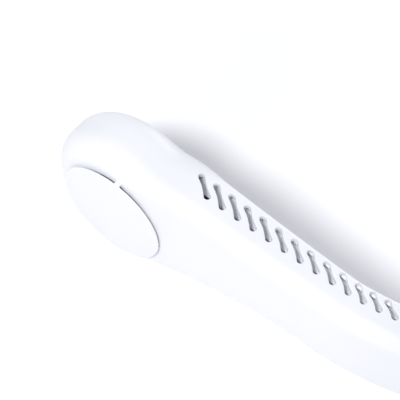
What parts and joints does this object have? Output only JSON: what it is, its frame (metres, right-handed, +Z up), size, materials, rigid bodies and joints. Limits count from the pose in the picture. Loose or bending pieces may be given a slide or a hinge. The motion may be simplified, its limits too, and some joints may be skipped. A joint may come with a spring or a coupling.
{
  "type": "electric neck fan",
  "caption": "Bladeless fan worn round the neck: round blower heads on slotted curved arms that hinge on a rear bridge behind ribbed sleeves",
  "frame": {"origin": "centre of the footprint, on the table that the fan stands on", "axes": "+Z up, slots up; heads towards -Y, neck bridge towards +Y; the wearer's left arm on +X"},
  "size_m": [0.1842, 0.2021, 0.0645],
  "materials": {
    "white_plastic": "satin moulded ABS",
    "inner_plastic": "plain moulded",
    "silicone": "soft, matt",
    "black_foam": "closed-cell foam",
    "steel": "plated",
    "bronze": "sintered",
    "copper": "enamelled wire",
    "magnet": "bonded ferrite",
    "circuit_board": "solder mask",
    "battery_foil": "foil pouch",
    "light_pipe": "clouded clear plastic"
  },
  "bodies": {
    "neck_bridge": {"neck_bridge_shell": "white_plastic", "neck_bridge_lid": "white_plastic", "neck_bridge_screws": "steel", "battery_cells": "battery_foil", "left_hinge_fork": "inner_plastic", "right_hinge_fork": "inner_plastic", "left_hinge_pin": "steel", "right_hinge_pin": "steel", "left_sleeve": "silicone", "right_sleeve": "silicone"},
    "left_arm": {"left_arm_shell": "white_plastic", "left_arm_lid": "white_plastic", "left_arm_screws": "steel", "left_hinge_tongue": "inner_plastic", "left_intake_cover": "white_plastic", "left_head_cap": "white_plastic", "left_cap_screws": "steel", "left_air_duct": "inner_plastic", "left_foam_seal": "black_foam", "left_motor_mount": "inner_plastic", "left_mount_screws": "steel", "left_motor_board": "circuit_board", "left_bearings": "bronze", "left_stator": "steel", "left_coils": "copper"},
    "right_arm": {"right_arm_shell": "white_plastic", "right_arm_lid": "white_plastic", "right_arm_screws": "steel", "right_hinge_tongue": "inner_plastic", "right_intake_cover": "white_plastic", "right_head_cap": "white_plastic", "right_cap_screws": "steel", "right_air_duct": "inner_plastic", "right_foam_seal": "black_foam", "right_motor_mount": "inner_plastic", "right_mount_screws": "steel", "right_motor_board": "circuit_board", "right_bearings": "bronze", "right_stator": "steel", "right_coils": "copper", "control_board": "circuit_board", "charging_port": "steel", "charge_lights": "light_pipe"},
    "left_blower": {"left_impeller": "inner_plastic", "left_rotor_can": "steel", "left_magnet_ring": "magnet", "left_shaft": "steel"},
    "right_blower": {"right_impeller": "inner_plastic", "right_rotor_can": "steel", "right_magnet_ring": "magnet", "right_shaft": "steel"},
    "power_button": {"power_button": "white_plastic"}
  },
  "joints": [
    {"name": "left_arm_hinge", "type": "hinge", "parent": "neck_bridge", "child": "left_arm", "pos_m": [0.05711, 0.07344, 0.03061], "axis": [0, 0, 1], "range_deg": [-5, 15], "deforming": ["left_sleeve"]},
    {"name": "right_arm_hinge", "type": "hinge", "parent": "neck_bridge", "child": "right_arm", "pos_m": [-0.05711, 0.07344, 0.03061], "axis": [0, 0, -1], "range_deg": [-5, 15], "deforming": ["right_sleeve"]},
    {"name": "left_blower_spin", "type": "hinge", "parent": "left_arm", "child": "left_blower", "pos_m": [0.08699, -0.07179, 0.03], "axis": [0.9976, -0.0698, 0], "continuous": true},
    {"name": "right_blower_spin", "type": "hinge", "parent": "right_arm", "child": "right_blower", "pos_m": [-0.08699, -0.07179, 0.03], "axis": [-0.9976, -0.0698, 0], "continuous": true},
    {"name": "power_button_press", "type": "slide", "parent": "right_arm", "child": "power_button", "axis": [0.999, 0.0448, 0], "range_m": [0, 0.0005], "stiffness_N_per_m": 1200, "springref_m": -0.0005}
  ]
}
